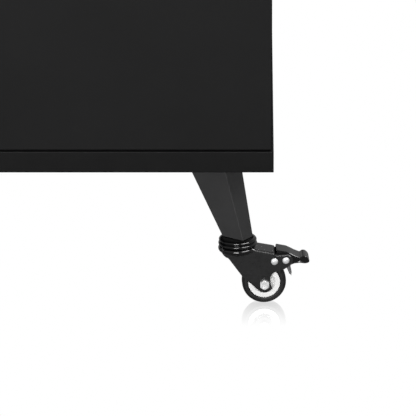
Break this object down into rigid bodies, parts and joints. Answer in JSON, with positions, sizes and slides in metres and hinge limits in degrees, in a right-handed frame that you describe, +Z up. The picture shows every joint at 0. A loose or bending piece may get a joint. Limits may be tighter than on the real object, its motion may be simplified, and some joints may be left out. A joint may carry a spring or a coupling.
{
  "type": "lectern podium",
  "caption": "Rolling lectern podium: black board cabinet with open shelves and a sloped desk, on splayed tapered legs with swivel casters.",
  "frame": {"origin": "on the floor, under the middle of the base board", "axes": "+Z up; the flat front that the audience sees faces -Y; the speaker stands at +Y, where the shelves are open; +X is to the right seen from the front"},
  "size_m": [0.696, 0.56, 1.1428],
  "materials": {
    "black_board": "matte black laminate on board",
    "black_steel": "matte black powder coat",
    "gloss_black_steel": "gloss black",
    "pedal_black": "satin black",
    "zinc_steel": "bright zinc plate",
    "white_plastic": "satin white",
    "black_tread": "smooth black"
  },
  "bodies": {
    "stand": {"base_board": "black_board", "front_panel": "black_board", "side_panel_left": "black_board", "side_panel_right": "black_board", "fixed_shelf": "black_board", "adjustable_shelf": "black_board", "desk_top": "black_board", "book_stop": "black_board", "shelf_pin_front_left": "zinc_steel", "shelf_pin_front_right": "zinc_steel", "shelf_pin_rear_left": "zinc_steel", "shelf_pin_rear_right": "zinc_steel", "leg_front_left": "black_steel", "leg_plate_front_left": "black_steel", "caster_mount_front_left": "gloss_black_steel", "leg_front_right": "black_steel", "leg_plate_front_right": "black_steel", "caster_mount_front_right": "gloss_black_steel", "leg_rear_left": "black_steel", "leg_plate_rear_left": "black_steel", "caster_mount_rear_left": "gloss_black_steel", "leg_rear_right": "black_steel", "leg_plate_rear_right": "black_steel", "caster_mount_rear_right": "gloss_black_steel"},
    "swivel_front_left": {"fork_front_left": "gloss_black_steel", "ball_ring_front_left": "zinc_steel", "axle_bolt_front_left": "zinc_steel", "axle_nut_front_left": "zinc_steel", "axle_sleeve_front_left": "zinc_steel", "brake_pivot_rivet_front_left": "zinc_steel", "brake_stop_rivet_front_left": "zinc_steel"},
    "wheel_front_left": {"wheel_core_front_left": "white_plastic", "tread_front_left": "black_tread"},
    "pedal_front_left": {"brake_pedal_front_left": "pedal_black", "brake_spring_front_left": "zinc_steel"},
    "swivel_front_right": {"fork_front_right": "gloss_black_steel", "ball_ring_front_right": "zinc_steel", "axle_bolt_front_right": "zinc_steel", "axle_nut_front_right": "zinc_steel", "axle_sleeve_front_right": "zinc_steel", "brake_pivot_rivet_front_right": "zinc_steel", "brake_stop_rivet_front_right": "zinc_steel"},
    "wheel_front_right": {"wheel_core_front_right": "white_plastic", "tread_front_right": "black_tread"},
    "pedal_front_right": {"brake_pedal_front_right": "pedal_black", "brake_spring_front_right": "zinc_steel"},
    "swivel_rear_left": {"fork_rear_left": "gloss_black_steel", "ball_ring_rear_left": "zinc_steel", "axle_bolt_rear_left": "zinc_steel", "axle_nut_rear_left": "zinc_steel", "axle_sleeve_rear_left": "zinc_steel"},
    "wheel_rear_left": {"wheel_core_rear_left": "white_plastic", "tread_rear_left": "black_tread"},
    "swivel_rear_right": {"fork_rear_right": "gloss_black_steel", "ball_ring_rear_right": "zinc_steel", "axle_bolt_rear_right": "zinc_steel", "axle_nut_rear_right": "zinc_steel", "axle_sleeve_rear_right": "zinc_steel"},
    "wheel_rear_right": {"wheel_core_rear_right": "white_plastic", "tread_rear_right": "black_tread"}
  },
  "joints": [
    {"name": "swivel_front_left", "type": "hinge", "parent": "stand", "child": "swivel_front_left", "pos_m": [-0.2665, -0.2395, 0.0688], "axis": [0, 0, 1], "continuous": true},
    {"name": "wheel_spin_front_left", "type": "hinge", "parent": "swivel_front_left", "child": "wheel_front_left", "pos_m": [-0.29616, -0.23795, 0.025], "axis": [0.0523, 0.9986, 0], "continuous": true},
    {"name": "brake_press_front_left", "type": "hinge", "parent": "swivel_front_left", "child": "pedal_front_left", "pos_m": [-0.30744, -0.23735, 0.0522], "axis": [-0.0523, -0.9986, 0], "range_deg": [0, 10]},
    {"name": "swivel_front_right", "type": "hinge", "parent": "stand", "child": "swivel_front_right", "pos_m": [0.2665, -0.2395, 0.0688], "axis": [0, 0, 1], "continuous": true},
    {"name": "wheel_spin_front_right", "type": "hinge", "parent": "swivel_front_right", "child": "wheel_front_right", "pos_m": [0.29616, -0.23795, 0.025], "axis": [0.0523, -0.9986, 0], "continuous": true},
    {"name": "brake_press_front_right", "type": "hinge", "parent": "swivel_front_right", "child": "pedal_front_right", "pos_m": [0.30744, -0.23735, 0.0522], "axis": [-0.0523, 0.9986, 0], "range_deg": [0, 10]},
    {"name": "swivel_rear_left", "type": "hinge", "parent": "stand", "child": "swivel_rear_left", "pos_m": [-0.2665, 0.2395, 0.0688], "axis": [0, 0, 1], "continuous": true},
    {"name": "wheel_spin_rear_left", "type": "hinge", "parent": "swivel_rear_left", "child": "wheel_rear_left", "pos_m": [-0.23684, 0.23795, 0.025], "axis": [-0.0523, -0.9986, 0], "continuous": true},
    {"name": "swivel_rear_right", "type": "hinge", "parent": "stand", "child": "swivel_rear_right", "pos_m": [0.2665, 0.2395, 0.0688], "axis": [0, 0, 1], "continuous": true},
    {"name": "wheel_spin_rear_right", "type": "hinge", "parent": "swivel_rear_right", "child": "wheel_rear_right", "pos_m": [0.23684, 0.23795, 0.025], "axis": [-0.0523, 0.9986, 0], "continuous": true}
  ]
}
